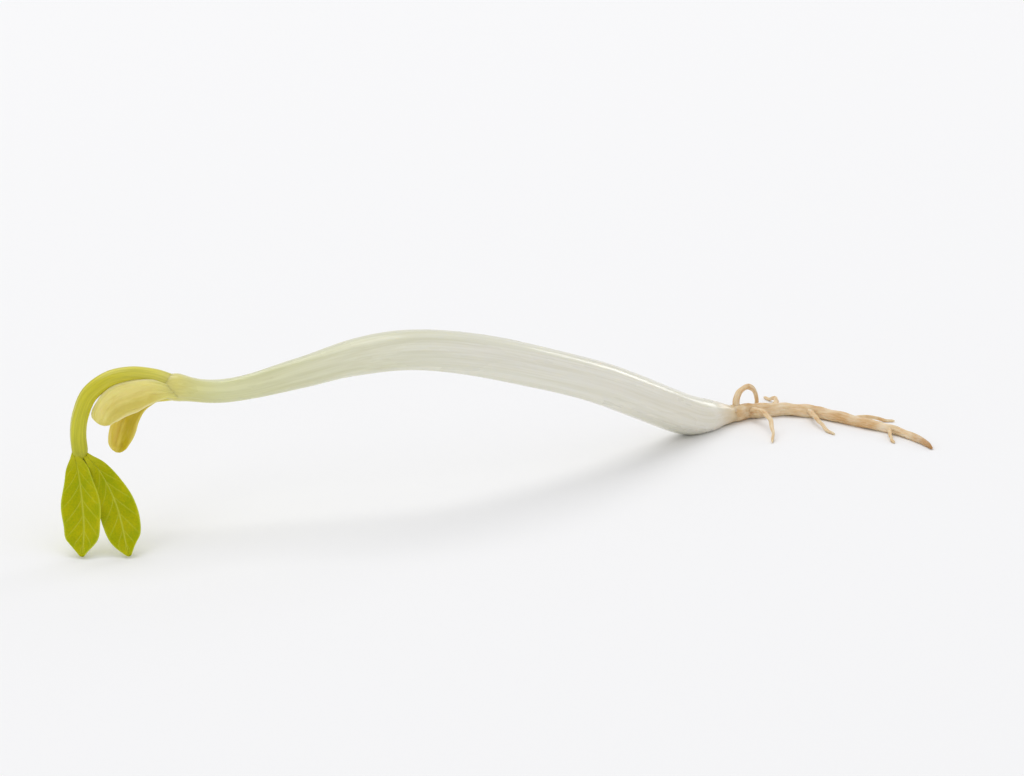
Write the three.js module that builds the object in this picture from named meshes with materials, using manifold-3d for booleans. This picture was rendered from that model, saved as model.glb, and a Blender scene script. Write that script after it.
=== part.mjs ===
// A mung bean sprout lying on a flat surface: a long white stem below the seed (the hypocotyl) that
// narrows into a thin tan root, and at its other end the node with two seed leaves (cotyledons) and a
// hooked green shoot (the epicotyl) that carries the first pair of leaves.
// Millimetres, +Z up. The sprout stands on its leaf tips and its root end, with the stem arching between.

import * as THREE from 'three';
import { mergeVertices } from 'three/addons/utils/BufferGeometryUtils.js';
import Module from 'manifold-3d';

const wasm = await Module();
wasm.setup();

// ---- Driving dimensions ----

const JOIN_GAP = 0.1; // clear space left between two grown-together pieces
const UP = new THREE.Vector3(0, 0, 1);
const FRONT = new THREE.Vector3(0, -1, 0);

// A route is the centre line of a piece with its width there: [x, y, z, diameter].
const HYPOCOTYL_ROUTE = [
  [6.5, 0.0, 10.4, 1.75],
  [9.1, 0.6, 9.92, 1.65],
  [11.8, 1.3, 10.0, 1.8],
  [15.4, 2.2, 10.75, 2.2],
  [19.0, 3.2, 11.5, 2.55],
  [23.0, 4.6, 11.7, 2.8],
  [27.4, 6.9, 10.7, 2.9],
  [31.8, 10.0, 8.9, 3.0],
  [36.2, 13.8, 6.6, 3.0],
  [40.2, 18.0, 3.8, 2.95],
  [43.0, 21.4, 1.75, 2.85],
  [44.6, 23.2, 1.04, 2.45],
  [45.7, 24.3, 0.78, 1.8],
  [46.4, 24.95, 0.66, 1.35],
];

const TAPROOT_ROUTE = [
  [46.5, 25.02, 0.65, 1.3],
  [48.1, 26.1, 0.54, 1.15],
  [50.6, 26.7, 0.46, 1.0],
  [53.4, 25.9, 0.42, 0.9],
  [56.0, 23.9, 0.36, 0.78],
  [58.5, 22.1, 0.31, 0.66],
  [60.4, 19.7, 0.24, 0.5],
  [61.1, 18.1, 0.13, 0.2],
];

const EPICOTYL_ROUTE = [
  [6.3, 0.1, 10.65, 1.1],
  [5.1, -0.35, 11.2, 1.15],
  [3.7, -0.9, 11.55, 1.15],
  [2.2, -1.5, 11.4, 1.15],
  [0.9, -2.1, 10.55, 1.15],
  [0.3, -2.7, 9.3, 1.15],
  [0.12, -3.2, 8.0, 1.15],
  [0.25, -3.6, 6.65, 1.2],
];

// Seed leaves: [x, y, z, width]. Their thickness is a share of the width.
const FRONT_COTYLEDON = {
  route: [
    [6.25, -0.85, 10.35, 0.9],
    [5.1, -1.3, 10.45, 1.7],
    [3.9, -1.7, 10.25, 2.25],
    [2.8, -2.05, 9.9, 2.4],
    [2.0, -2.4, 9.2, 2.1],
    [1.75, -2.6, 8.35, 1.1],
  ],
  facing: new THREE.Vector3(0.2, -1, 0.35),
  thicknessShare: 0.5,
};

const BACK_COTYLEDON = {
  route: [
    [6.2, 0.35, 9.7, 0.8],
    [5.1, 0.3, 9.65, 1.1],
    [4.05, 0.15, 9.1, 1.4],
    [3.3, 0.0, 8.15, 1.75],
    [2.85, -0.2, 6.95, 1.85],
    [2.5, -0.3, 5.7, 1.1],
  ],
  facing: new THREE.Vector3(-0.3, -1, 0.1),
  thicknessShare: 0.55,
};

// The leaf pair: [x, y, z, width], from the short stalk to the pointed tip on the surface.
const LEAF_THICKNESS = 0.35;
const LEAF_FOLD = 0.22; // how far the blade's edges stand proud of its midrib, as a share of the width
const LEFT_LEAF = {
  route: [
    [0.02, -3.72, 6.4, 0.7],
    [0.16, -3.95, 5.6, 1.5],
    [0.32, -4.22, 4.5, 2.1],
    [0.46, -4.6, 3.2, 2.45],
    [0.56, -5.05, 2.0, 2.5],
    [0.56, -5.7, 0.9, 1.95],
    [0.5, -6.6, 0.17, 0.3],
  ],
  facing: new THREE.Vector3(-0.25, -1, 0.45),
};

const RIGHT_LEAF = {
  route: [
    [0.9, -3.72, 6.32, 0.6],
    [1.55, -3.84, 5.58, 1.2],
    [2.15, -4.02, 4.55, 1.75],
    [2.72, -4.35, 3.3, 2.25],
    [3.12, -4.8, 2.05, 2.35],
    [3.42, -5.5, 0.9, 1.85],
    [3.75, -6.45, 0.17, 0.3],
  ],
  facing: new THREE.Vector3(0.05, -1, 0.45), // its inner edge lies behind the left leaf's
};

// The resting bud behind the fork of the leaf pair.
const BUD_ROUTE = [
  [0.3, -3.28, 6.45, 0.4],
  [0.36, -3.26, 6.0, 0.56],
  [0.44, -3.3, 5.5, 0.44],
  [0.5, -3.36, 5.1, 0.14],
];

// ---- Shapes bent along a route ----

// The point, the width and the three directions at a share t of a route's length.
function routeStations(route, facing) {
  const centres = route.map(([x, y, z]) => new THREE.Vector3(x, y, z));
  const widths = route.map((station) => new THREE.Vector3(station[3], 0, 0));
  const centreLine = new THREE.CatmullRomCurve3(centres, false, 'catmullrom');
  const widthLine = new THREE.CatmullRomCurve3(widths, false, 'catmullrom');
  return (t) => {
    const along = centreLine.getTangent(t);
    const face = facing.clone().addScaledVector(along, -facing.dot(along)).normalize();
    const side = along.clone().cross(face);
    return { centre: centreLine.getPoint(t), width: widthLine.getPoint(t).x, along, face, side };
  };
}

// Moves every vertex of a geometry to move(vertex), and drops what no longer fits it.
function reshape(geometry, move) {
  const position = geometry.getAttribute('position');
  const vertex = new THREE.Vector3();
  for (let i = 0; i < position.count; i += 1) {
    vertex.fromBufferAttribute(position, i);
    const moved = move(vertex);
    position.setXYZ(i, moved.x, moved.y, Math.max(moved.z, 0)); // nothing sinks below the surface
  }
  geometry.deleteAttribute('normal');
  geometry.deleteAttribute('uv');
  const merged = mergeVertices(geometry);
  merged.computeVertexNormals();
  return merged;
}

// Stems and roots: a closed cylinder bent along the route, as thick as the route says.
function stalk(route, facing, sides, rings, extra = 0) {
  const stationAt = routeStations(route, facing);
  return reshape(new THREE.CylinderGeometry(1, 1, 1, sides, rings), (v) => {
    const { centre, width, side, face } = stationAt(v.y + 0.5);
    const radius = width / 2 + extra;
    return centre.addScaledVector(side, v.x * radius).addScaledVector(face, v.z * radius);
  });
}

// Seed leaves: a flattened stalk, rounder on its outer face than on its inner one.
function seedLeaf({ route, facing, thicknessShare }) {
  const innerShare = 0.6;
  const stationAt = routeStations(route, facing);
  return reshape(new THREE.CylinderGeometry(1, 1, 1, 16, 14), (v) => {
    const { centre, width, side, face } = stationAt(v.y + 0.5);
    const across = (v.x * width) / 2;
    const bulge = v.z > 0 ? 1 : innerShare;
    const depth = (v.z * bulge * width * thicknessShare) / 2;
    return centre.addScaledVector(side, across).addScaledVector(face, depth);
  });
}

// Leaf blades: a thin box bent along the route and folded lengthwise at its midrib.
function blade({ route, facing }) {
  const stationAt = routeStations(route, facing);
  return reshape(new THREE.BoxGeometry(2, 1, 1, 4, 16, 1), (v) => {
    const { centre, width, side, face } = stationAt(v.y + 0.5);
    const lift = Math.abs(v.x) * width * LEAF_FOLD + v.z * LEAF_THICKNESS;
    return centre.addScaledVector(side, (v.x * width) / 2).addScaledVector(face, lift);
  });
}

// ---- Cuts ----

function toManifold(geometry) {
  const bare = geometry.clone();
  bare.deleteAttribute('normal');
  bare.deleteAttribute('uv');
  const merged = mergeVertices(bare);
  const vertProperties = new Float32Array(merged.getAttribute('position').array);
  const triVerts = new Uint32Array(merged.getIndex().array);
  return new wasm.Manifold(new wasm.Mesh({ numProp: 3, vertProperties, triVerts }));
}

// The first geometry without the space that the others take.
function cutBy(geometry, ...cutters) {
  let solid = toManifold(geometry);
  for (const cutter of cutters) {
    solid = solid.subtract(toManifold(cutter));
  }
  const mesh = solid.getMesh();
  const cut = new THREE.BufferGeometry();
  cut.setAttribute('position', new THREE.BufferAttribute(mesh.vertProperties, 3));
  cut.setIndex(new THREE.BufferAttribute(mesh.triVerts, 1));
  cut.computeVertexNormals();
  return cut;
}

// ---- Lateral roots ----

// at: where it leaves the taproot, as a share of the taproot's length. turn: the angle in plan between
// it and the taproot, left positive. rise: how steeply it leaves, above level. droop and swing: how far
// it bends down and round by its tip. Angles are in degrees. The first one curls over in the air, and
// the others lie down on the surface. They all zigzag a little in plan.
const ROOT_TIP = 0.2;
const ROOT_ZIGZAG = 13;
const LATERAL_ROOTS = [
  { at: 0.04, turn: 20, rise: 95, droop: 250, swing: -30, length: 6.2, thick: 0.55 },
  { at: 0.07, turn: 120, rise: 20, droop: 60, swing: 50, length: 5.0, thick: 0.5 },
  { at: 0.13, turn: -78, rise: 20, droop: 50, swing: -40, length: 6.6, thick: 0.52 },
  { at: 0.24, turn: 62, rise: 15, droop: 50, swing: 55, length: 4.6, thick: 0.44 },
  { at: 0.38, turn: -66, rise: 15, droop: 50, swing: 30, length: 5.0, thick: 0.42 },
  { at: 0.54, turn: 68, rise: 10, droop: 40, swing: -35, length: 3.4, thick: 0.36 },
  { at: 0.7, turn: -58, rise: 10, droop: 40, swing: 25, length: 2.6, thick: 0.32 },
];

function lateralRoot({ at, turn, rise, droop, swing, length, thick }) {
  const steps = 10;
  const { centre, width, along } = routeStations(TAPROOT_ROUTE, UP)(at);
  let heading = Math.atan2(along.y, along.x) + THREE.MathUtils.degToRad(turn);
  let pitch = THREE.MathUtils.degToRad(rise);
  const facing = new THREE.Vector3(-Math.sin(heading), Math.cos(heading), 0);
  const point = centre.clone();
  const advance = (distance) => {
    point.x += distance * Math.cos(pitch) * Math.cos(heading);
    point.y += distance * Math.cos(pitch) * Math.sin(heading);
    point.z += distance * Math.sin(pitch);
  };
  advance((width + JOIN_GAP) / 2);
  const route = [];
  for (let i = 0; i <= steps; i += 1) {
    const diameter = THREE.MathUtils.lerp(thick, ROOT_TIP, i / steps);
    point.z = Math.max(point.z, diameter / 2);
    route.push([point.x, point.y, point.z, diameter]);
    pitch -= THREE.MathUtils.degToRad(droop) / steps;
    heading += THREE.MathUtils.degToRad(swing / steps + ROOT_ZIGZAG * Math.sin(2.3 * i + 40 * at));
    advance(length / steps);
  }
  return stalk(route, facing, 7, 20);
}

// ---- Pieces ----

const FRESH_STEM = { color: 0xdcdcd4, roughness: 0.3, metalness: 0 };
const TAN_ROOT = { color: 0xd4bd98, roughness: 0.55, metalness: 0 };
const GREEN_SHOOT = { color: 0xc8c040, roughness: 0.35, metalness: 0 };
const PALE_SEED_LEAF = { color: 0xd0bf70, roughness: 0.5, metalness: 0 };
const OLIVE_SEED_LEAF = { color: 0xb8a030, roughness: 0.5, metalness: 0 };
const GREEN_LEAF = { color: 0xa6a80a, roughness: 0.45, metalness: 0 };

const sprout = new THREE.Group();

function addPiece(name, geometry, finish) {
  const piece = new THREE.Mesh(geometry, new THREE.MeshStandardMaterial(finish));
  piece.name = name;
  sprout.add(piece);
}

const taproot = stalk(TAPROOT_ROUTE, UP, 10, 36);
const taprootSpace = stalk(TAPROOT_ROUTE, UP, 10, 36, JOIN_GAP);
const epicotyl = stalk(EPICOTYL_ROUTE, FRONT, 12, 28);
const epicotylSpace = stalk(EPICOTYL_ROUTE, FRONT, 12, 28, JOIN_GAP);

addPiece('hypocotyl', stalk(HYPOCOTYL_ROUTE, UP, 16, 48), FRESH_STEM);
addPiece('taproot', taproot, TAN_ROOT);
LATERAL_ROOTS.forEach((root, i) => {
  addPiece(`lateral_root_${i + 1}`, cutBy(lateralRoot(root), taprootSpace), TAN_ROOT);
});
addPiece('epicotyl', epicotyl, GREEN_SHOOT);
addPiece('cotyledon_front', cutBy(seedLeaf(FRONT_COTYLEDON), epicotylSpace), PALE_SEED_LEAF);
addPiece('cotyledon_back', cutBy(seedLeaf(BACK_COTYLEDON), epicotylSpace), OLIVE_SEED_LEAF);
addPiece('leaf_left', cutBy(blade(LEFT_LEAF), epicotylSpace), GREEN_LEAF);
addPiece('leaf_right', cutBy(blade(RIGHT_LEAF), epicotylSpace), GREEN_LEAF);
addPiece('terminal_bud', cutBy(stalk(BUD_ROUTE, FRONT, 8, 8), epicotylSpace), GREEN_SHOOT);

// The origin lies on the surface, under the middle of the whole sprout.
const middle = new THREE.Box3().setFromObject(sprout).getCenter(new THREE.Vector3());
for (const piece of sprout.children) {
  piece.position.set(-middle.x, -middle.y, 0);
}

export default sprout;
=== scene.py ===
"""A mung bean sprout lying on a pale floor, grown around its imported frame.

Each piece is a closed tube that bmesh makes straight and this script then bends along the piece's
route, with the skin's own ridges, folds and wrinkles. The straight shape stays on the mesh as an
attribute in millimetres, and the materials draw their streaks, veins and specks on it.
"""

import math

import bmesh
import bpy
from bpy.props import FloatProperty, FloatVectorProperty, IntProperty, PointerProperty
from mathutils import Matrix, Vector, noise


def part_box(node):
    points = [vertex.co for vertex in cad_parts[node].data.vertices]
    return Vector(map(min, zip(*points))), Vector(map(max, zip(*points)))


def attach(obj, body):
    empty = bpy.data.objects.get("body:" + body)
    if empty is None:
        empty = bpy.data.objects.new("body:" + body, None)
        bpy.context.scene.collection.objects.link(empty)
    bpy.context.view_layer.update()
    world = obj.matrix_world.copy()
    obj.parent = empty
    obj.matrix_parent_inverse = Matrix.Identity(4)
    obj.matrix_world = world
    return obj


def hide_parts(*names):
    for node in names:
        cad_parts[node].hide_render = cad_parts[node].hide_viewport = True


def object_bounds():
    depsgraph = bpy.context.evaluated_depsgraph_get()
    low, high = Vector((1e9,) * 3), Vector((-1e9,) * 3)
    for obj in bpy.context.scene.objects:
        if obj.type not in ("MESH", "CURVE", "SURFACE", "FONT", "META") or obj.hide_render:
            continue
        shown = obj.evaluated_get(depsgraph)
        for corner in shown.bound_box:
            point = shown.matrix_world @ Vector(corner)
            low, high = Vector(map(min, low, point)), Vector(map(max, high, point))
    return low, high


bl_info = {
    "name": "Mung bean sprout",
    "version": (1, 0, 0),
    "blender": (4, 5, 0),
    "location": "3D View > Sidebar > Sprout",
    "description": "Grows a mung bean sprout with its root, shoot, seed leaves and leaf pair",
    "category": "Add Mesh",
}

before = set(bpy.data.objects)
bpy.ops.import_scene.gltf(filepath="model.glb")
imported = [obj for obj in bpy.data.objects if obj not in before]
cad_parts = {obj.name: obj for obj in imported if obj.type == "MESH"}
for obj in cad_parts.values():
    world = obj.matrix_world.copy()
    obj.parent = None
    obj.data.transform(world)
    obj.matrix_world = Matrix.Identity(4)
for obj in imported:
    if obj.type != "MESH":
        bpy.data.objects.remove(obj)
CAD_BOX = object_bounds()

MM = 0.001
BODY = "root"
UP = Vector((0, 0, 1))
FRONT = Vector((0, -1, 0))

# The routes are in millimetres, measured from the floor below the fork of the leaf pair. This is
# where the frame's origin lies on that measure.
FRAME_ORIGIN = Vector((30.152, 12.286, 0.0))
FIT_LIMIT = 1.5 * MM  # how far a piece's box may be from its CAD node's box


# ---- Routes: centre lines as (x, y, z, width) ----

HYPOCOTYL_ROUTE = (
    (6.5, 0.0, 10.4, 1.75),
    (9.1, 0.6, 9.92, 1.65),
    (11.8, 1.3, 10.0, 1.8),
    (15.4, 2.2, 10.75, 2.2),
    (19.0, 3.2, 11.5, 2.55),
    (23.0, 4.6, 11.7, 2.8),
    (27.4, 6.9, 10.7, 2.9),
    (31.8, 10.0, 8.9, 3.0),
    (36.2, 13.8, 6.6, 3.0),
    (40.2, 18.0, 3.8, 2.95),
    (43.0, 21.4, 1.75, 2.85),
    (44.6, 23.2, 1.04, 2.45),
    (45.7, 24.3, 0.78, 1.8),
    (46.4, 24.95, 0.66, 1.35),
)

TAPROOT_ROUTE = (
    (46.5, 25.02, 0.65, 1.3),
    (48.1, 26.1, 0.54, 1.15),
    (50.6, 26.7, 0.46, 1.0),
    (53.4, 25.9, 0.42, 0.9),
    (56.0, 23.9, 0.36, 0.78),
    (58.5, 22.1, 0.31, 0.66),
    (60.4, 19.7, 0.24, 0.5),
    (61.1, 18.1, 0.13, 0.2),
)

EPICOTYL_ROUTE = (
    (6.3, 0.1, 10.65, 1.1),
    (5.1, -0.35, 11.2, 1.15),
    (3.7, -0.9, 11.55, 1.15),
    (2.2, -1.5, 11.4, 1.15),
    (0.9, -2.1, 10.55, 1.15),
    (0.3, -2.7, 9.3, 1.15),
    (0.12, -3.2, 8.0, 1.15),
    (0.25, -3.6, 6.65, 1.2),
)

FRONT_COTYLEDON_ROUTE = (
    (6.25, -0.85, 10.35, 0.9),
    (5.1, -1.3, 10.45, 1.7),
    (3.9, -1.7, 10.25, 2.25),
    (2.8, -2.05, 9.9, 2.3),
    (2.0, -2.4, 9.2, 1.95),
    (1.62, -2.58, 8.42, 1.1),
)

BACK_COTYLEDON_ROUTE = (
    (6.2, 0.35, 9.7, 0.8),
    (5.1, 0.3, 9.65, 1.1),
    (4.05, 0.15, 9.1, 1.4),
    (3.3, 0.0, 8.15, 1.75),
    (2.85, -0.2, 6.95, 1.85),
    (2.5, -0.3, 5.7, 1.1),
)

LEFT_LEAF_ROUTE = (
    (0.02, -3.72, 6.4, 0.7),
    (0.16, -3.95, 5.6, 1.5),
    (0.32, -4.22, 4.5, 2.1),
    (0.46, -4.6, 3.2, 2.45),
    (0.56, -5.05, 2.0, 2.5),
    (0.56, -5.7, 0.9, 1.95),
    (0.5, -6.6, 0.17, 0.3),
)

RIGHT_LEAF_ROUTE = (
    (0.9, -3.72, 6.32, 0.6),
    (1.55, -3.84, 5.58, 1.2),
    (2.15, -4.02, 4.55, 1.75),
    (2.72, -4.35, 3.3, 2.25),
    (3.12, -4.8, 2.05, 2.35),
    (3.42, -5.5, 0.9, 1.85),
    (3.75, -6.45, 0.17, 0.3),
)

BUD_ROUTE = (
    (0.3, -3.28, 6.45, 0.4),
    (0.36, -3.26, 6.0, 0.56),
    (0.44, -3.3, 5.5, 0.44),
    (0.5, -3.36, 5.1, 0.14),
)

# at: where a lateral root leaves the taproot, as a share of its length. turn: the angle in plan
# between them, left positive. rise: how steeply it leaves. droop and swing: how far it bends down
# and round by its tip. Angles in degrees, lengths in millimetres.
LATERAL_ROOTS = (
    {"at": 0.04, "turn": 20, "rise": 95, "droop": 250, "swing": -30, "length": 6.2, "thick": 0.55},
    {"at": 0.07, "turn": 120, "rise": 20, "droop": 60, "swing": 50, "length": 5.0, "thick": 0.5},
    {"at": 0.13, "turn": -78, "rise": 20, "droop": 50, "swing": -40, "length": 6.6, "thick": 0.52},
    {"at": 0.24, "turn": 62, "rise": 15, "droop": 50, "swing": 55, "length": 4.6, "thick": 0.44},
    {"at": 0.38, "turn": -66, "rise": 15, "droop": 50, "swing": 30, "length": 5.0, "thick": 0.42},
    {"at": 0.54, "turn": 68, "rise": 10, "droop": 40, "swing": -35, "length": 3.4, "thick": 0.36},
    {"at": 0.7, "turn": -58, "rise": 10, "droop": 40, "swing": 25, "length": 2.6, "thick": 0.32},
)
ROOT_STEPS = 10
ROOT_TIP = 0.2  # diameter at a lateral root's tip, in millimetres
ROOT_ZIGZAG = 13  # how far its heading wanders at each step, in degrees
LEAF_BROADNESS = 1.12  # the two blades meet, where their solids keep a gap
LEAF_FOLD = 0.22  # how far the blade's halves rise from the midrib, as a share of its width
MIDRIB_SPREAD = 0.08  # how far the midrib reaches, as a share of half the blade's width
VEIN_SPREAD = 0.2  # how far a side vein reaches, as a share of half the gap between two of them
VEIN_CLIMB = 0.24  # how far a side vein climbs from midrib to rim, as a share of the leaf's length
SIDE_VEIN_STRENGTH = 0.6
VEIN_GROOVE = 0.05  # how deep the veins lie in the blade, in millimetres

# Sockets of a Mix node that mixes colours, and of one that mixes plain values.
MIX_SHARE, COLOUR_A, COLOUR_B, MIXED_COLOUR = 0, 6, 7, 2
VALUE_A, VALUE_B, MIXED_VALUE = 2, 3, 0

FLOOR_HALF_SIDE = 3.0  # metres
ROOM_LIGHT = 0.78
# Each softbox's name, its place from the sprout's middle and its diameter in metres, its watts.
SOFTBOXES = (
    ("overhead_softbox", Vector((-0.2, 0.4, 1.1)), 0.9, 3.9),
    ("front_softbox", Vector((-0.7, -0.9, 0.6)), 0.5, 1.1),
    ("far_softbox", Vector((0.72, 0.95, 0.38)), 0.4, 1.2),
)


def hex_colour(code):
    """An sRGB hex colour as the linear values that Blender's sockets and properties take."""
    values = []
    for start in (0, 2, 4):
        share = int(code[start : start + 2], 16) / 255
        values.append(share / 12.92 if share <= 0.04045 else ((share + 0.055) / 1.055) ** 2.4)
    return (*values, 1.0)


def colour_property(name, description, code):
    """A colour of the sprout that a user can change, from its sRGB hex value."""
    return FloatVectorProperty(
        name=name,
        description=description,
        default=hex_colour(code),
        size=4,
        subtype="COLOR",
        min=0,
        max=1,
    )


def length_property(name, description, millimetres):
    """A length of the sprout that a user can change, from its value in millimetres."""
    return FloatProperty(
        name=name,
        description=description,
        default=millimetres * MM,
        unit="LENGTH",
        precision=5,
        min=0,
    )


# ---- Settings ----


class StemSettings(bpy.types.PropertyGroup):
    """The white stem and the hooked shoot."""

    ridge_depth: length_property("Ridge depth", "How deep the stem's lengthwise ridges are", 0.05)
    swelling: length_property("Swelling", "How far the stem swells and thins along it", 0.12)
    node_colour: colour_property("Node", "Stem colour at the seed leaves", "ded57c")
    neck_colour: colour_property("Neck", "Stem colour just below the seed leaves", "dcddae")
    flesh_colour: colour_property("Flesh", "Stem colour along its thick part", "eae9df")
    foot_colour: colour_property("Foot", "Stem colour where it narrows into the root", "e2d5bd")
    shoot_colour: colour_property("Shoot", "Colour of the hooked green shoot", "d4cb2c")


class RootSettings(bpy.types.PropertyGroup):
    """The taproot and its lateral roots."""

    knobbliness: length_property("Knobbliness", "How far a root's skin stands in and out", 0.14)
    old_colour: colour_property("Old root", "Colour of the root's drier parts", "cfa671")
    young_colour: colour_property("Young root", "Colour of the root's fresher parts", "ecdcc0")
    tip_colour: colour_property("Root tip", "Colour of the root's dried tip", "a87a45")


class SeedLeafSettings(bpy.types.PropertyGroup):
    """The two seed leaves."""

    wrinkle_depth: length_property("Wrinkle depth", "How deep the seed leaves' wrinkles are", 0.12)
    pale_colour: colour_property("Pale seed leaf", "Colour of the front seed leaf", "eade86")
    pale_rim_colour: colour_property("Pale rim", "Colour of the front seed leaf's rim", "f5eab0")
    # Painted light and shade: the back seed leaf's lit half, and its darker half, which stands in
    # for shade
    olive_colour: colour_property("Olive seed leaf", "Light side of the back seed leaf", "e4cf5c")
    olive_painted_shade_colour: colour_property("Olive shade", "Dark side of the back seed leaf", "c8b314")


class LeafSettings(bpy.types.PropertyGroup):
    """The first pair of leaves."""

    thickness: length_property("Thickness", "Thickness of the leaf blade beside its midrib", 0.24)
    vein_pairs: IntProperty(
        name="Vein pairs", description="Side veins on each half", default=7, min=3, max=12
    )
    blade_colour: colour_property("Blade", "Colour of the leaf blade", "9fa900")
    young_colour: colour_property("Young blade", "Colour of the blade's yellower parts", "bcb700")
    vein_colour: colour_property("Veins", "Colour of the midrib, veins and rim", "cbce48")


class StageSettings(bpy.types.PropertyGroup):
    """The floor and the camera."""

    floor_colour: colour_property("Floor", "Colour of the pale floor", "f4f4f4")
    elevation: FloatProperty(
        name="Camera elevation",
        description="How far above the horizon the camera stands",
        default=math.radians(17),
        subtype="ANGLE",
    )
    lens: FloatProperty(name="Lens", description="Focal length in millimetres", default=180, min=20)
    fill: FloatProperty(
        name="Fill",
        description="Share of the picture's width that the sprout takes",
        default=0.84,
        min=0.1,
        max=1,
    )


# ---- Node trees ----


def add_node(tree, kind, values=None, links=None, **settings):
    """Adds a node, sets its properties and unlinked inputs, and links other outputs into it."""
    node = tree.nodes.new(kind)
    for name, value in settings.items():
        setattr(node, name, value)
    for socket, value in (values or {}).items():
        node.inputs[socket].default_value = value
    for socket, source in (links or {}).items():
        tree.links.new(source, node.inputs[socket])
    return node


def set_stops(ramp, stops):
    """Sets a colour ramp's stops from (position, colour) pairs."""
    elements = ramp.color_ramp.elements
    while len(elements) > 1:
        elements.remove(elements[-1])
    elements[0].position, elements[0].color = stops[0]
    for position, colour in stops[1:]:
        elements.new(position).color = colour


def new_material(name, values):
    """A material with a Principled shader whose constant values are set on its own sockets."""
    material = bpy.data.materials.new(name)
    material.use_nodes = True
    tree = material.node_tree
    tree.nodes.clear()
    shader = add_node(tree, "ShaderNodeBsdfPrincipled", values=values)
    add_node(tree, "ShaderNodeOutputMaterial", links={"Surface": shader.outputs["BSDF"]})
    return material, tree, shader


def straight_coordinates(tree):
    """The straightened shape in millimetres: across, through and along the piece."""
    return add_node(tree, "ShaderNodeAttribute", attribute_name="straight").outputs["Vector"]


# ---- Growing a piece ----


def station_at(route, share):
    """The place and width at a share of a route, on the smooth curve through its stations."""
    points = [Vector(station) for station in route]
    spans = len(points) - 1
    index = min(int(share * spans), spans - 1)
    u = share * spans - index
    start, end = points[index], points[index + 1]
    before = points[index - 1] if index > 0 else 2 * start - end
    after = points[index + 2] if index + 2 <= spans else 2 * end - start
    leave, arrive = (end - before) / 2, (after - start) / 2
    bend = 3 * (end - start) - 2 * leave - arrive
    twist = 2 * (start - end) + leave + arrive
    return start + leave * u + bend * u * u + twist * u * u * u


def frame_at(route, share, facing, past=0.0):
    """The centre, width and across, facing and along directions at a share of a route.

    past moves the centre straight on along the route by so many millimetres.
    """
    step = 0.002
    here = station_at(route, share)
    ahead = station_at(route, min(share + step, 1.0))
    behind = station_at(route, max(share - step, 0.0))
    along = (ahead.xyz - behind.xyz).normalized()
    face = (facing - along * facing.dot(along)).normalized()
    return here.xyz + along * past, here.w, along.cross(face), face, along


def route_length(route, steps=200):
    """The length of a route in millimetres."""
    places = [station_at(route, i / steps).xyz for i in range(steps + 1)]
    return sum((b - a).length for a, b in zip(places, places[1:]))


def grow(name, route, facing, section, sides, rings, back=0.0, on=0.0):
    """Makes a closed piece along a route and returns its object.

    section(turn, share, length, width) gives how far the skin stands across and towards the facing
    side, in millimetres. turn is the angle round the piece, and share and length are along it. back
    and on are how far it runs straight past the route's start and end, into what it grows from. The
    attribute rim is 1 at the piece's two long edges and 0 midway between them.
    """
    mesh_maker = bmesh.new()
    bmesh.ops.create_cone(
        mesh_maker, cap_ends=True, cap_tris=True, segments=sides, radius1=1, radius2=1, depth=1
    )
    long_edges = [
        edge for edge in mesh_maker.edges if abs(edge.verts[0].co.z - edge.verts[1].co.z) > 0.5
    ]
    bmesh.ops.subdivide_edges(mesh_maker, edges=long_edges, cuts=rings - 1, use_grid_fill=True)
    straight = mesh_maker.verts.layers.float_vector.new("straight")
    rim = mesh_maker.verts.layers.float.new("rim")
    total = route_length(route)
    whole = back + total + on
    frames = {}
    for vert in mesh_maker.verts:
        ring = round((vert.co.z + 0.5) * rings)
        length = ring / rings * whole - back
        if ring not in frames:
            inside = min(max(length, 0.0), total)
            frames[ring] = frame_at(route, inside / total, facing, length - inside)
        centre, width, across, face, _ = frames[ring]
        reach = vert.co.xy.length
        turn = math.atan2(vert.co.y, vert.co.x)
        side_mm, face_mm = section(turn, ring / rings, length, width)
        side_mm, face_mm = side_mm * reach, face_mm * reach
        vert[straight] = (side_mm, face_mm, length)
        vert[rim] = abs(math.cos(turn))
        place = centre + across * side_mm + face * face_mm - FRAME_ORIGIN
        place.z = max(place.z, 0.0)
        vert.co = place * MM
    bmesh.ops.recalc_face_normals(mesh_maker, faces=mesh_maker.faces)
    for polygon in mesh_maker.faces:
        polygon.smooth = True
    mesh = bpy.data.meshes.new(name)
    mesh_maker.to_mesh(mesh)
    mesh_maker.free()
    piece = bpy.data.objects.new(name, mesh)
    bpy.context.collection.objects.link(piece)
    return piece


def settle(piece, node, material):
    """Gives a finished piece its material and puts it in the place of its CAD node."""
    low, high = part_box(node)
    corners = [Vector(corner) for corner in piece.bound_box]
    for axis in range(3):
        values = [corner[axis] for corner in corners]
        if abs(min(values) - low[axis]) > FIT_LIMIT or abs(max(values) - high[axis]) > FIT_LIMIT:
            raise RuntimeError(f"{piece.name} doesn't fit its CAD node {node}")
    piece.data.materials.append(material)
    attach(piece, BODY)
    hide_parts(node)


# ---- Materials ----


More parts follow.
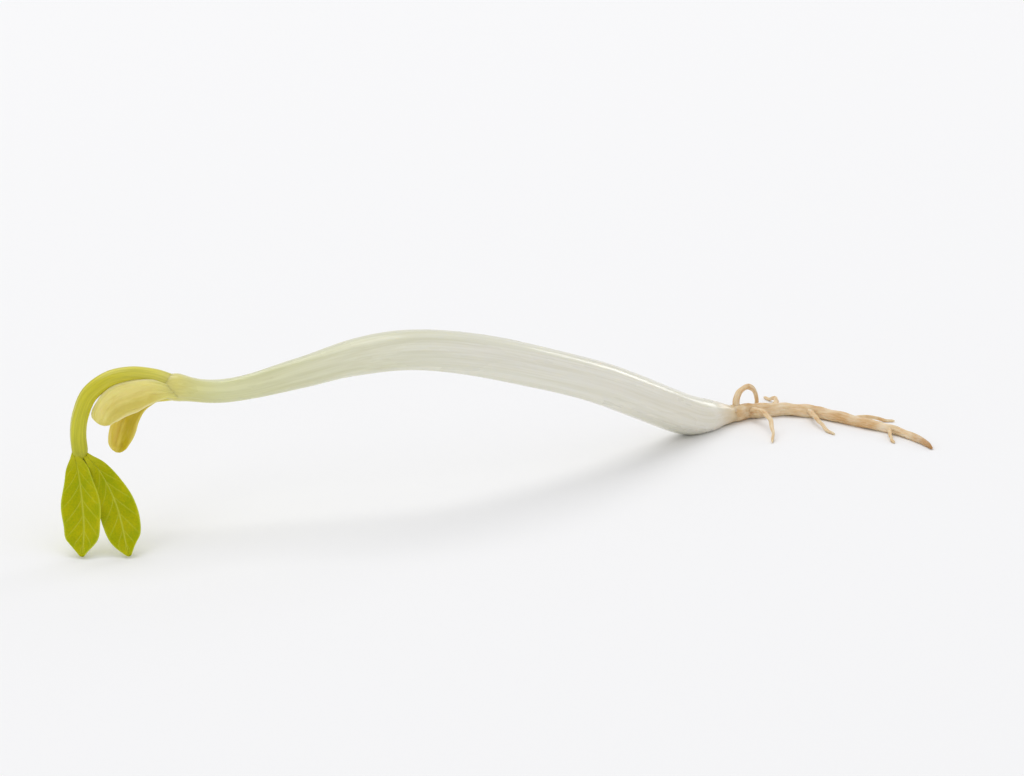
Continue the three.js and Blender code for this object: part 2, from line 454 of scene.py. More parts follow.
def stem_skin(settings):
    """Turgid epidermis: smooth wet skin over full cells, glossy and milky, faintly streaked."""
    material, tree, shader = new_material(
        "turgid_stem_skin",
        values={
            "IOR": 1.4,
            "Subsurface Weight": 0.45,
            "Subsurface Radius": (1.0, 0.95, 0.7),
            "Subsurface Scale": 1.4 * MM,
            "Coat Weight": 0.35,
            "Coat Roughness": 0.12,
        },
    )
    shape = straight_coordinates(tree)
    parts = add_node(tree, "ShaderNodeSeparateXYZ", links={"Vector": shape})
    share = add_node(
        tree,
        "ShaderNodeMapRange",
        values={"From Min": 0.0, "From Max": route_length(HYPOCOTYL_ROUTE)},
        links={"Value": parts.outputs["Z"]},
    )
    tint = add_node(tree, "ShaderNodeValToRGB", links={"Fac": share.outputs["Result"]})
    set_stops(
        tint,
        (
            (0.0, settings.node_colour),
            (0.035, hex_colour("dcd995")),
            (0.09, settings.neck_colour),
            (0.25, hex_colour("e2e2c8")),
            (0.45, settings.flesh_colour),
            (0.84, hex_colour("e8e5da")),
            (0.94, settings.foot_colour),
            (1.0, hex_colour("dfc8a2")),
        ),
    )
    # The veins inside show through the flesh as soft grey-green bands, about 1 mm wide, that run
    # the stem's whole length.
    bands = add_node(
        tree,
        "ShaderNodeMapping",
        values={"Scale": (1 / 1.0, 1 / 1.0, 1 / 30)},
        links={"Vector": shape},
    )
    band_noise = add_node(
        tree,
        "ShaderNodeTexNoise",
        values={"Scale": 1.0, "Detail": 2.0},
        links={"Vector": bands.outputs["Vector"]},
    )
    band_share = add_node(
        tree,
        "ShaderNodeMapRange",
        values={"From Min": 0.42, "From Max": 0.72, "To Max": 0.55},
        links={"Value": band_noise.outputs["Fac"]},
    )
    banded = add_node(
        tree,
        "ShaderNodeMix",
        data_type="RGBA",
        blend_type="MULTIPLY",
        values={COLOUR_B: hex_colour("dfe0cc")},
        links={MIX_SHARE: band_share.outputs["Result"], COLOUR_A: tint.outputs["Color"]},
    )
    # Strands of cells about 0.15 mm wide and 8 mm long run along the stem.
    strands = add_node(
        tree,
        "ShaderNodeMapping",
        values={"Scale": (1 / 0.15, 1 / 0.15, 1 / 8)},
        links={"Vector": shape},
    )
    strand_noise = add_node(
        tree,
        "ShaderNodeTexNoise",
        values={"Scale": 1.0, "Detail": 3.0, "Roughness": 0.55},
        links={"Vector": strands.outputs["Vector"]},
    )
    streaks = add_node(
        tree,
        "ShaderNodeMapRange",
        values={"From Min": 0.35, "From Max": 0.75, "To Max": 0.45},
        links={"Value": strand_noise.outputs["Fac"]},
    )
    streaked = add_node(
        tree,
        "ShaderNodeMix",
        data_type="RGBA",
        blend_type="MULTIPLY",
        values={COLOUR_B: hex_colour("e4e0cc")},
        links={MIX_SHARE: streaks.outputs["Result"], COLOUR_A: banded.outputs[MIXED_COLOUR]},
    )
    # Opaque white cells lie in cloudy patches a few millimetres long, between more watery ones.
    patches = add_node(
        tree,
        "ShaderNodeMapping",
        values={"Scale": (1 / 1.6, 1 / 1.6, 1 / 5)},
        links={"Vector": shape},
    )
    patch_noise = add_node(
        tree,
        "ShaderNodeTexNoise",
        values={"Scale": 1.0, "Detail": 3.0},
        links={"Vector": patches.outputs["Vector"]},
    )
    patch_share = add_node(
        tree,
        "ShaderNodeMapRange",
        values={"From Min": 0.45, "From Max": 0.75, "To Max": 0.45},
        links={"Value": patch_noise.outputs["Fac"]},
    )
    patched = add_node(
        tree,
        "ShaderNodeMix",
        data_type="RGBA",
        blend_type="SCREEN",
        values={COLOUR_B: hex_colour("4a4a46")},
        links={MIX_SHARE: patch_share.outputs["Result"], COLOUR_A: streaked.outputs[MIXED_COLOUR]},
    )
    tree.links.new(patched.outputs[MIXED_COLOUR], shader.inputs["Base Color"])
    bump = add_node(
        tree,
        "ShaderNodeBump",
        values={"Strength": 0.35, "Distance": 0.012 * MM},
        links={"Height": strand_noise.outputs["Fac"]},
    )
    tree.links.new(bump.outputs["Normal"], shader.inputs["Normal"])
    gloss = add_node(
        tree,
        "ShaderNodeMapRange",
        values={"From Min": 0.3, "From Max": 0.8, "To Min": 0.22, "To Max": 0.42},
        links={"Value": patch_noise.outputs["Fac"]},
    )
    tree.links.new(gloss.outputs["Result"], shader.inputs["Roughness"])
    return material


def root_skin(settings):
    """Root cortex: dull drying skin, tan and cream in lengthwise wrinkles, browner at the tip."""
    material, tree, shader = new_material(
        "drying_root_skin",
        values={
            "IOR": 1.4,
            "Subsurface Weight": 0.3,
            "Subsurface Radius": (1.0, 0.75, 0.45),
            "Subsurface Scale": 0.5 * MM,
        },
    )
    shape = straight_coordinates(tree)
    parts = add_node(tree, "ShaderNodeSeparateXYZ", links={"Vector": shape})
    # Wrinkles about 0.12 mm across and 0.8 mm long.
    grain = add_node(
        tree,
        "ShaderNodeMapping",
        values={"Scale": (1 / 0.12, 1 / 0.12, 1 / 0.8)},
        links={"Vector": shape},
    )
    wrinkles = add_node(
        tree,
        "ShaderNodeTexNoise",
        values={"Scale": 1.0, "Detail": 4.0, "Roughness": 0.6},
        links={"Vector": grain.outputs["Vector"]},
    )
    # Drier stretches about 1.5 mm long lie between fresher ones.
    stretches = add_node(
        tree,
        "ShaderNodeTexNoise",
        values={"Scale": 1 / 1.5, "Detail": 2.0},
        links={"Vector": shape},
    )
    dryness = add_node(
        tree,
        "ShaderNodeMix",
        values={MIX_SHARE: 0.55},
        links={VALUE_A: wrinkles.outputs["Fac"], VALUE_B: stretches.outputs["Fac"]},
    )
    mottle = add_node(tree, "ShaderNodeValToRGB", links={"Fac": dryness.outputs[MIXED_VALUE]})
    set_stops(
        mottle,
        ((0.36, settings.old_colour), (0.5, hex_colour("e0c69e")), (0.64, settings.young_colour)),
    )
    total = route_length(TAPROOT_ROUTE)
    tip_share = add_node(
        tree,
        "ShaderNodeMapRange",
        values={"From Min": total - 4.0, "From Max": total},
        links={"Value": parts.outputs["Z"]},
    )
    browned = add_node(
        tree,
        "ShaderNodeMix",
        data_type="RGBA",
        values={COLOUR_B: settings.tip_colour},
        links={MIX_SHARE: tip_share.outputs["Result"], COLOUR_A: mottle.outputs["Color"]},
    )
    tree.links.new(browned.outputs[MIXED_COLOUR], shader.inputs["Base Color"])
    bump = add_node(
        tree,
        "ShaderNodeBump",
        values={"Strength": 0.8, "Distance": 0.05 * MM},
        links={"Height": wrinkles.outputs["Fac"]},
    )
    tree.links.new(bump.outputs["Normal"], shader.inputs["Normal"])
    dullness = add_node(
        tree,
        "ShaderNodeMapRange",
        values={"From Min": 0.3, "From Max": 0.7, "To Min": 0.65, "To Max": 0.4},
        links={"Value": stretches.outputs["Fac"]},
    )
    tree.links.new(dullness.outputs["Result"], shader.inputs["Roughness"])
    return material


def shoot_skin(settings):
    """Shoot epidermis: taut yellow-green skin, glossy, with darker strands along it."""
    material, tree, shader = new_material(
        "taut_shoot_skin",
        values={
            "IOR": 1.4,
            "Subsurface Weight": 0.35,
            "Subsurface Radius": (0.9, 1.0, 0.25),
            "Subsurface Scale": 0.6 * MM,
            "Coat Weight": 0.15,
            "Coat Roughness": 0.15,
        },
    )
    shape = straight_coordinates(tree)
    parts = add_node(tree, "ShaderNodeSeparateXYZ", links={"Vector": shape})
    share = add_node(
        tree,
        "ShaderNodeMapRange",
        values={"From Min": 0.0, "From Max": route_length(EPICOTYL_ROUTE)},
        links={"Value": parts.outputs["Z"]},
    )
    tint = add_node(tree, "ShaderNodeValToRGB", links={"Fac": share.outputs["Result"]})
    set_stops(
        tint,
        (
            (0.0, hex_colour("dcd47c")),
            (0.15, hex_colour("dbd35a")),
            (0.5, settings.shoot_colour),
            (0.85, hex_colour("cfcb34")),
            (1.0, hex_colour("c0be26")),
        ),
    )
    # Strands of cells about 0.12 mm wide and 4 mm long.
    strands = add_node(
        tree,
        "ShaderNodeMapping",
        values={"Scale": (1 / 0.12, 1 / 0.12, 1 / 4)},
        links={"Vector": shape},
    )
    strand_noise = add_node(
        tree,
        "ShaderNodeTexNoise",
        values={"Scale": 1.0, "Detail": 3.0},
        links={"Vector": strands.outputs["Vector"]},
    )
    streaks = add_node(
        tree,
        "ShaderNodeMapRange",
        values={"From Min": 0.35, "From Max": 0.72, "To Max": 0.7},
        links={"Value": strand_noise.outputs["Fac"]},
    )
    streaked = add_node(
        tree,
        "ShaderNodeMix",
        data_type="RGBA",
        blend_type="MULTIPLY",
        values={COLOUR_B: hex_colour("d2d69a")},
        links={MIX_SHARE: streaks.outputs["Result"], COLOUR_A: tint.outputs["Color"]},
    )
    tree.links.new(streaked.outputs[MIXED_COLOUR], shader.inputs["Base Color"])
    bump = add_node(
        tree,
        "ShaderNodeBump",
        values={"Strength": 0.4, "Distance": 0.03 * MM},
        links={"Height": strand_noise.outputs["Fac"]},
    )
    tree.links.new(bump.outputs["Normal"], shader.inputs["Normal"])
    gloss = add_node(
        tree,
        "ShaderNodeMapRange",
        values={"From Min": 0.3, "From Max": 0.7, "To Min": 0.28, "To Max": 0.42},
        links={"Value": strand_noise.outputs["Fac"]},
    )
    tree.links.new(gloss.outputs["Result"], shader.inputs["Roughness"])
    return material


def seed_leaf_wax(name, neck, dark, light, rim_colour):
    """Seed leaf skin: soft waxy flesh that has given up its starch, wrinkled, paler at its rim, one
    half in painted shade.
    """
    material, tree, shader = new_material(
        name,
        values={
            "IOR": 1.42,
            "Subsurface Weight": 0.4,
            "Subsurface Radius": (1.0, 0.85, 0.3),
            "Subsurface Scale": 0.8 * MM,
            "Coat Weight": 0.12,
            "Coat Roughness": 0.25,
        },
    )
    shape = straight_coordinates(tree)
    parts = add_node(tree, "ShaderNodeSeparateXYZ", links={"Vector": shape})
    # Wrinkles about 0.35 mm across and 1.5 mm long.
    folds = add_node(
        tree,
        "ShaderNodeMapping",
        values={"Scale": (1 / 0.35, 1 / 0.35, 1 / 1.5)},
        links={"Vector": shape},
    )
    fold_noise = add_node(
        tree,
        "ShaderNodeTexNoise",
        values={"Scale": 1.0, "Detail": 4.0, "Roughness": 0.55},
        links={"Vector": folds.outputs["Vector"]},
    )
    # Painted shade: one half is darker than the other, with a wandering border between them,
    # standing in for the shade in the seed leaf's hollow.
    half = add_node(
        tree,
        "ShaderNodeMapRange",
        values={"From Min": -0.5, "From Max": 0.5, "To Min": -0.25, "To Max": 0.25},
        links={"Value": parts.outputs["X"]},
    )
    shade = add_node(
        tree,
        "ShaderNodeMath",
        operation="ADD",
        links={0: half.outputs["Result"], 1: fold_noise.outputs["Fac"]},
    )
    tint = add_node(tree, "ShaderNodeValToRGB", links={"Fac": shade.outputs["Value"]})
    set_stops(tint, ((0.3, dark), (0.68, light)))
    edge = add_node(tree, "ShaderNodeAttribute", attribute_name="rim")
    rim_share = add_node(
        tree,
        "ShaderNodeMapRange",
        values={"From Min": 0.8, "From Max": 1.0, "To Max": 0.85},
        links={"Value": edge.outputs["Fac"]},
    )
    rimmed = add_node(
        tree,
        "ShaderNodeMix",
        data_type="RGBA",
        values={COLOUR_B: rim_colour},
        links={MIX_SHARE: rim_share.outputs["Result"], COLOUR_A: tint.outputs["Color"]},
    )
    # The short neck has the colour of the stem that it grows from.
    neck_share = add_node(
        tree,
        "ShaderNodeMapRange",
        values={"From Min": 0.0, "From Max": 1.4, "To Min": 1.0, "To Max": 0.0},
        links={"Value": parts.outputs["Z"]},
    )
    necked = add_node(
        tree,
        "ShaderNodeMix",
        data_type="RGBA",
        values={COLOUR_B: neck},
        links={MIX_SHARE: neck_share.outputs["Result"], COLOUR_A: rimmed.outputs[MIXED_COLOUR]},
    )
    tree.links.new(necked.outputs[MIXED_COLOUR], shader.inputs["Base Color"])
    bump = add_node(
        tree,
        "ShaderNodeBump",
        values={"Strength": 0.7, "Distance": 0.08 * MM},
        links={"Height": fold_noise.outputs["Fac"]},
    )
    tree.links.new(bump.outputs["Normal"], shader.inputs["Normal"])
    gloss = add_node(
        tree,
        "ShaderNodeMapRange",
        values={"From Min": 0.3, "From Max": 0.7, "To Min": 0.36, "To Max": 0.55},
        links={"Value": fold_noise.outputs["Fac"]},
    )
    tree.links.new(gloss.outputs["Result"], shader.inputs["Roughness"])
    return material


def leaf_cuticle(settings):
    """Young leaf blade: satin cuticle over bright yellow-green tissue, paler along its veins."""
    material, tree, shader = new_material(
        "young_leaf_cuticle",
        values={
            "IOR": 1.36,
            "Specular IOR Level": 0.15,
            "Subsurface Weight": 0.2,
            "Subsurface Radius": (0.7, 1.0, 0.05),
            "Subsurface Scale": 0.3 * MM,
        },
    )
    veins = add_node(tree, "ShaderNodeAttribute", attribute_name="vein").outputs["Fac"]
    edge = add_node(tree, "ShaderNodeAttribute", attribute_name="rim")
    shape = straight_coordinates(tree)
    parts = add_node(tree, "ShaderNodeSeparateXYZ", links={"Vector": shape})
    # Cells in spots about 0.12 mm across, over yellower and greener areas about 1.5 mm across.
    cells = add_node(
        tree,
        "ShaderNodeTexNoise",
        values={"Scale": 1 / 0.12, "Detail": 2.0},
        links={"Vector": shape},
    )
    areas = add_node(
        tree,
        "ShaderNodeTexNoise",
        values={"Scale": 1 / 1.5, "Detail": 2.0},
        links={"Vector": shape},
    )
    growth = add_node(
        tree,
        "ShaderNodeMix",
        values={MIX_SHARE: 0.6},
        links={VALUE_A: cells.outputs["Fac"], VALUE_B: areas.outputs["Fac"]},
    )
    tone = add_node(tree, "ShaderNodeValToRGB", links={"Fac": growth.outputs[MIXED_VALUE]})
    set_stops(tone, ((0.38, settings.blade_colour), (0.62, settings.young_colour)))
    rim_share = add_node(
        tree,
        "ShaderNodeMapRange",
        values={"From Min": 0.9, "From Max": 1.0, "To Max": 0.8},
        links={"Value": edge.outputs["Fac"]},
    )
    pale_share = add_node(
        tree,
        "ShaderNodeMath",
        operation="MAXIMUM",
        links={0: veins, 1: rim_share.outputs["Result"]},
    )
    veined = add_node(
        tree,
        "ShaderNodeMix",
        data_type="RGBA",
        values={COLOUR_B: settings.vein_colour},
        links={MIX_SHARE: pale_share.outputs["Value"], COLOUR_A: tone.outputs["Color"]},
    )
    # The short stalk has the colour of the shoot that it grows from.
    stalk_share = add_node(
        tree,
        "ShaderNodeMapRange",
        values={"From Min": 0.0, "From Max": 1.3, "To Min": 1.0, "To Max": 0.0},
        links={"Value": parts.outputs["Z"]},
    )
    stalked = add_node(
        tree,
        "ShaderNodeMix",
        data_type="RGBA",
        values={COLOUR_B: hex_colour("bcba20")},
        links={MIX_SHARE: stalk_share.outputs["Result"], COLOUR_A: veined.outputs[MIXED_COLOUR]},
    )
    tree.links.new(stalked.outputs[MIXED_COLOUR], shader.inputs["Base Color"])
    bump = add_node(
        tree,
        "ShaderNodeBump",
        values={"Strength": 0.5, "Distance": 0.03 * MM},
        links={"Height": cells.outputs["Fac"]},
    )
    tree.links.new(bump.outputs["Normal"], shader.inputs["Normal"])
    satin = add_node(
        tree,
        "ShaderNodeMapRange",
        values={"From Min": 0.3, "From Max": 0.7, "To Min": 0.38, "To Max": 0.52},
        links={"Value": cells.outputs["Fac"]},
    )
    tree.links.new(satin.outputs["Result"], shader.inputs["Roughness"])
    return material


def floor_card(colour):
    """Matt white card: an even pale sheet with no gloss."""
    values = {"Base Color": colour, "Roughness": 0.9, "Specular IOR Level": 0.1}
    return new_material("matt_white_card", values)[0]


# ---- Pieces ----


def round_end(share, start, end):
    """How full a round-ended piece is at a share of its length: 0 at its ends, 1 between them."""
    fullness = 1.0
    if share < start:
        fullness = math.sqrt(max(0.0, 1 - (1 - share / start) ** 2))
    elif share > 1 - end:
        fullness = math.sqrt(max(0.0, 1 - (1 - (1 - share) / end) ** 2))
    return max(fullness, 0.02)


def skin_noise(turn, length, around, along, seed):
    """Smooth noise on a stem's skin, with spots so many to a turn and so long in millimetres."""
    place = Vector((math.cos(turn) * around, math.sin(turn) * around, length / along + seed))
    return noise.noise(place)


class SPROUT_OT_stem(bpy.types.Operator):
    """Grow the thick white stem"""

    bl_idname = "sprout.stem"
    bl_label = "Stem"

    def execute(self, context):
        settings = context.scene.sprout_stem
        depth, swelling = settings.ridge_depth / MM, settings.swelling / MM
        total = route_length(HYPOCOTYL_ROUTE)

        def section(turn, share, length, width):
            # An oval stem with five ridges, thicker at the seed leaves. Its relief smooths out
            # over the last 2.5 mm, where it becomes root.
            relief = min(1.0, max(0.0, (total - length) / 2.5))
            oval = 1 + 0.04 * relief * math.cos(2 * turn + 0.08 * length)
            node = 1 + 0.16 * math.exp(-(((length - 0.5) / 1.1) ** 2))
            ridges = depth * 0.5 * math.cos(5 * turn + 0.07 * length)
            strands = depth * skin_noise(turn, length, around=2.4, along=9.0, seed=4.0)
            swell = swelling * skin_noise(turn, length, around=0.5, along=5.0, seed=9.0)
            fullness = round_end(share, start=0.03, end=0.006)
            radius = (width / 2 * oval * node + (ridges + strands + swell) * relief) * fullness
            sway = swelling * relief * noise.noise(Vector((length / 6.0, 0, 2.0)))
            return radius * math.cos(turn) + sway, radius * math.sin(turn)

        stem = grow(
            "hypocotyl_skin", HYPOCOTYL_ROUTE, UP, section, sides=80, rings=280, back=1.2, on=0.6
        )
        settle(stem, "hypocotyl", stem_skin(settings))
        return {"FINISHED"}


def root_section(knobbliness, seed, start, end):
    """The section of a root: uneven and wrinkled lengthwise.

    start and end are the shares of its length over which it closes at its ends.
    """

    def section(turn, share, length, width):
        knobs = knobbliness * skin_noise(turn, length, around=0.7, along=1.1, seed=seed)
        wrinkles = 0.5 * knobbliness * skin_noise(turn, length, around=3.0, along=1.0, seed=seed + 5)
        radius = (width / 2 + (knobs + wrinkles) * width) * round_end(share, start, end)
        return radius * math.cos(turn), radius * math.sin(turn)

    return section


class SPROUT_OT_taproot(bpy.types.Operator):
    """Grow the taproot that the stem narrows into"""

    bl_idname = "sprout.taproot"
    bl_label = "Taproot"

    def execute(self, context):
        settings = context.scene.sprout_root
        section = root_section(settings.knobbliness / MM, seed=2.0, start=0.004, end=0.02)
        root = grow("taproot_skin", TAPROOT_ROUTE, UP, section, sides=32, rings=170, back=0.5)
        settle(root, "taproot", root_skin(settings))
        return {"FINISHED"}


def lateral_route(at, turn, rise, droop, swing, length, thick):
    """The route of a lateral root, and the level direction that its bend turns about."""
    centre, width, _, _, along = frame_at(TAPROOT_ROUTE, at, UP)
    heading = math.atan2(along.y, along.x) + math.radians(turn)
    pitch = math.radians(rise)
    facing = Vector((-math.sin(heading), math.cos(heading), 0))
    place = centre.copy()
    route = []
    stride = width * 0.35  # the first step stays inside the taproot
    for i in range(ROOT_STEPS + 1):
        level, climb = stride * math.cos(pitch), stride * math.sin(pitch)
        place += Vector((level * math.cos(heading), level * math.sin(heading), climb))
        diameter = thick + (ROOT_TIP - thick) * i / ROOT_STEPS
        place.z = max(place.z, diameter / 2)
        route.append((*place, diameter))
        pitch -= math.radians(droop) / ROOT_STEPS
        heading += math.radians(swing / ROOT_STEPS + ROOT_ZIGZAG * math.sin(2.3 * i + 40 * at))
        stride = length / ROOT_STEPS
    return route, facing


class SPROUT_OT_lateral_roots(bpy.types.Operator):
    """Grow the lateral roots along the taproot"""

    bl_idname = "sprout.lateral_roots"
    bl_label = "Lateral roots"

    def execute(self, context):
        settings = context.scene.sprout_root
        knobbliness = settings.knobbliness / MM
        material = bpy.data.materials["drying_root_skin"]
        for number, fibre in enumerate(LATERAL_ROOTS, start=1):
            route, facing = lateral_route(**fibre)
            section = root_section(knobbliness, seed=10.0 * number, start=0.01, end=0.12)
            piece = grow(f"lateral_root_skin_{number}", route, facing, section, sides=16, rings=70)
            settle(piece, f"lateral_root_{number}", material)
        return {"FINISHED"}


class SPROUT_OT_shoot(bpy.types.Operator):
    """Grow the hooked green shoot"""

    bl_idname = "sprout.shoot"
    bl_label = "Shoot"

    def execute(self, context):
        settings = context.scene.sprout_stem
        depth = settings.ridge_depth / MM

        def section(turn, share, length, width):
            # Four-ridged, flared where it leaves the stem and slimmer again inside it.
            flare = 1 + 0.12 * math.exp(-((length / 1.5) ** 2))
            inside_stem = 1 + 0.35 * min(length, 0.0)
            ridges = depth * 0.5 * math.cos(4 * turn + 0.25 * length)
            strands = depth * 0.8 * skin_noise(turn, length, around=2.0, along=4.0, seed=31.0)
            swell = depth * skin_noise(turn, length, around=0.5, along=2.5, seed=37.0)
            fullness = round_end(share, start=0.01, end=0.07)
            radius = (width / 2 * flare * inside_stem + ridges + strands + swell) * fullness
            return radius * math.cos(turn), radius * math.sin(turn)

        shoot = grow(
            "epicotyl_skin", EPICOTYL_ROUTE, FRONT, section, sides=56, rings=150, back=1.0, on=0.5
        )
        settle(shoot, "epicotyl", shoot_skin(settings))
        return {"FINISHED"}


def seed_leaf_section(wrinkle_depth, thickness_share, seed):
    """The section of a seed leaf: half of a spent bean, wrinkled, with a crease along its dome."""
    inner_share = 0.5  # how far the flatter inner side stands out, as a share of the dome

    def section(turn, share, length, width):
        wrinkle = wrinkle_depth * skin_noise(turn, length, around=1.6, along=0.9, seed=seed)
        pucker = 0.9 * wrinkle_depth * skin_noise(turn, length, around=4.5, along=1.6, seed=seed + 7)
        crease = 0.35 * math.exp(-(((math.cos(turn) - 0.2) / 0.22) ** 2)) * min(1.0, length / 2)
        bulge = 1.0 - crease if math.sin(turn) > 0 else inner_share
        swell = round_end(share, start=0.02, end=0.08)
        across = (width / 2 + 0.5 * (wrinkle + pucker)) * math.cos(turn) * swell
        through = (width / 2 * thickness_share * bulge + wrinkle + pucker) * math.sin(turn) * swell
        return across, through

    return section


class SPROUT_OT_seed_leaves(bpy.types.Operator):
    """Grow the two seed leaves"""

    bl_idname = "sprout.seed_leaves"
    bl_label = "Seed leaves"

    def execute(self, context):
        settings = context.scene.sprout_seed_leaf
        depth = settings.wrinkle_depth / MM
        neck = context.scene.sprout_stem.node_colour
        front = grow(
            "cotyledon_front_skin",
            FRONT_COTYLEDON_ROUTE,
            Vector((0.2, -1, 0.35)),
            seed_leaf_section(depth, thickness_share=0.42, seed=3.0),
            sides=72,
            rings=90,
            back=0.8,
        )
        pale = seed_leaf_wax(
            "waxy_pale_seed_leaf",
            neck,
            # The dark tone is painted shade on one half of the front seed leaf.
            dark=hex_colour("d6c75e"),
            light=settings.pale_colour,
            rim_colour=settings.pale_rim_colour,
        )
        settle(front, "cotyledon_front", pale)
        back = grow(
            "cotyledon_back_skin",
            BACK_COTYLEDON_ROUTE,
            Vector((-0.3, -1, 0.1)),
            seed_leaf_section(depth, thickness_share=0.48, seed=21.0),
            sides=72,
            rings=90,
            back=0.8,
        )
        olive = seed_leaf_wax(
            "waxy_olive_seed_leaf",
            neck,
            # The dark tone is painted shade on one half of the back seed leaf.
            dark=settings.olive_painted_shade_colour,
            light=settings.olive_colour,
            rim_colour=hex_colour("e0cf68"),
        )
        settle(back, "cotyledon_back", olive)
        return {"FINISHED"}


def vein_strength(across_share, length, total, pairs):
    """How close a spot on a leaf is to its midrib or a side vein: 1 on a vein, 0 between them."""
    spread = min(abs(across_share), 1.0)
    midrib = max(0.0, 1 - spread / MIDRIB_SPREAD)
    # How far along the midrib the side vein through this spot would start.
    climb = length / total - VEIN_CLIMB * spread**0.8
    phase = climb * pairs % 1.0
    off_vein = min(phase, 1 - phase) * 2
    side = max(0.0, 1 - off_vein / VEIN_SPREAD) * (1 - spread) ** 0.5
    return max(midrib, SIDE_VEIN_STRENGTH * side)


def leaf_section(thickness, pairs, total, seed):
    """The section of a leaf blade: folded at its midrib, puffed between veins, thin at its rim."""

    def section(turn, share, length, width):
        across = math.cos(turn)
        rim = math.sqrt(max(0.0, 1 - across * across)) ** 0.6
        vein = vein_strength(across, length, total, pairs)
        # Two and a half waves run along the rims, one rim up where the other is down. The stalk is
        # thicker than the blade.
        ripple = math.sin(5.0 * length / total * math.pi + seed)
        wave = 0.09 * width * ripple * across * abs(across)
        middle = LEAF_FOLD * width * abs(across) ** 1.3 + wave
        stalk = 1 + 2.2 * math.exp(-((length / 0.9) ** 2))
        inside_shoot = 1 + 0.9 * min(length, 0.0)
        half = thickness / 2 * stalk * rim * round_end(share, start=0.06, end=0.01)
        groove = VEIN_GROOVE * vein * rim
        top = middle + half - groove
        under = middle - half - groove
        lift = top if math.sin(turn) > 0 else under
        return width / 2 * LEAF_BROADNESS * across * inside_shoot, lift * inside_shoot

    return section


def mark_veins(piece, route, total, pairs):
    """Stores how close each spot of a leaf is to a vein, for its material."""
    attributes = piece.data.attributes
    # It is added before either is read, because adding one moves the others' data.
    attributes.new("vein", "FLOAT", "POINT")
    for spot, mark in zip(attributes["straight"].data, attributes["vein"].data):
        across, _, length = spot.vector
        half = max(station_at(route, length / total).w / 2 * LEAF_BROADNESS, 0.01)
        mark.value = vein_strength(across / half, length, total, pairs)


class SPROUT_OT_leaf_pair(bpy.types.Operator):
    """Grow the first pair of leaves"""

    bl_idname = "sprout.leaf_pair"
    bl_label = "Leaf pair"

    def execute(self, context):
        settings = context.scene.sprout_leaf
        material = leaf_cuticle(settings)
        for side, route, facing, seed in (
            ("left", LEFT_LEAF_ROUTE, Vector((-0.25, -1, 0.45)), 0.4),
            ("right", RIGHT_LEAF_ROUTE, Vector((0.05, -1, 0.45)), 2.1),
        ):
            total = route_length(route)
            section = leaf_section(settings.thickness / MM, settings.vein_pairs, total, seed)
            leaf = grow(
                f"leaf_{side}_blade", route, facing, section, sides=240, rings=190, back=0.6
            )
            mark_veins(leaf, route, total, settings.vein_pairs)
            settle(leaf, f"leaf_{side}", material)
        return {"FINISHED"}


class SPROUT_OT_bud(bpy.types.Operator):
    """Grow the resting bud at the leaves' fork"""

    bl_idname = "sprout.bud"
    bl_label = "Bud"

    def execute(self, context):
        material = bpy.data.materials["taut_shoot_skin"]

        def section(turn, share, length, width):
            scales = 1 + 0.12 * math.cos(2 * turn + 3 * share)
            radius = width / 2 * scales * round_end(share, start=0.1, end=0.15)
            return radius * math.cos(turn), radius * math.sin(turn)

        bud = grow("terminal_bud_skin", BUD_ROUTE, FRONT, section, sides=24, rings=30, back=0.3)
        settle(bud, "terminal_bud", material)
        return {"FINISHED"}


# ---- Stage ----


def aimed_back(centre, offset):
    """The placing of a lamp or camera that stands at an offset from the centre and faces it."""
    turned = offset.to_track_quat("Z", "Y").to_matrix().to_4x4()
    return Matrix.Translation(centre + offset) @ turned


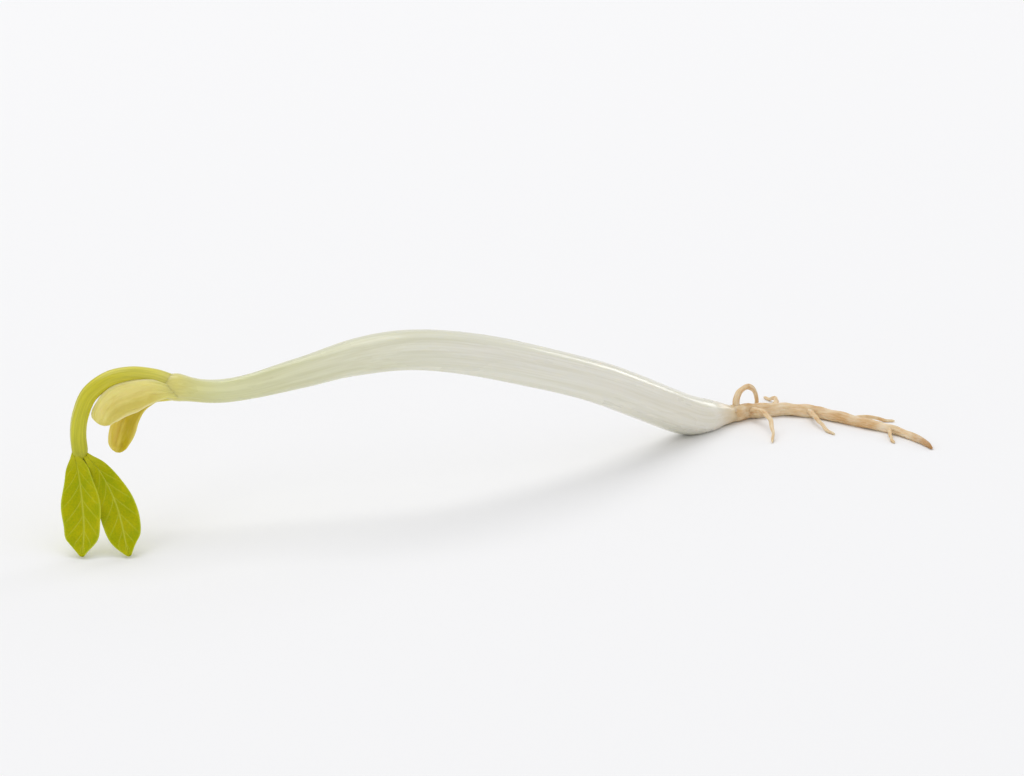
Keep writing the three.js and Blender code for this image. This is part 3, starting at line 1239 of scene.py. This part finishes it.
class SPROUT_OT_stage(bpy.types.Operator):
    """Set the pale floor, the soft lights and the camera"""

    bl_idname = "sprout.stage"
    bl_label = "Stage"

    def execute(self, context):
        scene = context.scene
        settings = scene.sprout_stage
        low, high = CAD_BOX
        centre = (low + high) / 2

        floor_maker = bmesh.new()
        bmesh.ops.create_grid(floor_maker, x_segments=1, y_segments=1, size=FLOOR_HALF_SIDE)
        floor_mesh = bpy.data.meshes.new("pale_floor")
        floor_maker.to_mesh(floor_mesh)
        floor_maker.free()
        floor = bpy.data.objects.new("pale_floor", floor_mesh)
        scene.collection.objects.link(floor)
        floor_mesh.materials.append(floor_card(settings.floor_colour))

        world = bpy.data.worlds.new("soft_room")
        world.use_nodes = True
        background = world.node_tree.nodes["Background"]
        background.inputs["Color"].default_value = hex_colour("fafafc")
        background.inputs["Strength"].default_value = ROOM_LIGHT
        scene.world = world

        for name, place, diameter, watts in SOFTBOXES:
            light = bpy.data.lights.new(name, "AREA")
            light.shape = "DISK"
            light.size = diameter
            light.energy = watts
            lamp = bpy.data.objects.new(name, light)
            lamp.matrix_world = aimed_back(centre, place)
            scene.collection.objects.link(lamp)

        camera_data = bpy.data.cameras.new("camera")
        camera_data.lens = settings.lens
        camera_data.clip_start = 0.01
        camera = bpy.data.objects.new("camera", camera_data)
        width = high.x - low.x
        half_view = math.atan(camera_data.sensor_width / 2 / settings.lens)
        distance = width / settings.fill / 2 / math.tan(half_view)
        back = Vector((0, -math.cos(settings.elevation), math.sin(settings.elevation)))
        camera.matrix_world = aimed_back(centre, back * distance)
        scene.collection.objects.link(camera)
        scene.camera = camera
        scene.view_settings.view_transform = "Standard"
        return {"FINISHED"}


class SPROUT_PT_panel(bpy.types.Panel):
    """Lists the sprout's settings and pieces"""

    bl_label = "Mung bean sprout"
    bl_idname = "SPROUT_PT_panel"
    bl_space_type = "VIEW_3D"
    bl_region_type = "UI"
    bl_category = "Sprout"

    def draw(self, context):
        layout = self.layout
        for group_name in SETTINGS:
            group = getattr(context.scene, group_name)
            box = layout.box()
            for prop in group.__annotations__:
                box.prop(group, prop)
        for operator in OPERATORS:
            layout.operator(operator.bl_idname)


SETTINGS = {
    "sprout_stem": StemSettings,
    "sprout_root": RootSettings,
    "sprout_seed_leaf": SeedLeafSettings,
    "sprout_leaf": LeafSettings,
    "sprout_stage": StageSettings,
}
OPERATORS = (
    SPROUT_OT_stage,
    SPROUT_OT_stem,
    SPROUT_OT_taproot,
    SPROUT_OT_lateral_roots,
    SPROUT_OT_shoot,
    SPROUT_OT_seed_leaves,
    SPROUT_OT_leaf_pair,
    SPROUT_OT_bud,
)


def register():
    for group_name, group in SETTINGS.items():
        bpy.utils.register_class(group)
        setattr(bpy.types.Scene, group_name, PointerProperty(type=group))
    for operator in OPERATORS:
        bpy.utils.register_class(operator)
    bpy.utils.register_class(SPROUT_PT_panel)


def unregister():
    bpy.utils.unregister_class(SPROUT_PT_panel)
    for operator in reversed(OPERATORS):
        bpy.utils.unregister_class(operator)
    for group_name, group in SETTINGS.items():
        delattr(bpy.types.Scene, group_name)
        bpy.utils.unregister_class(group)


def main():
    register()
    bpy.ops.sprout.stage()
    bpy.ops.sprout.stem()
    bpy.ops.sprout.taproot()
    bpy.ops.sprout.lateral_roots()
    bpy.ops.sprout.shoot()
    bpy.ops.sprout.seed_leaves()
    bpy.ops.sprout.leaf_pair()
    bpy.ops.sprout.bud()


if __name__ == "__main__":
    main()
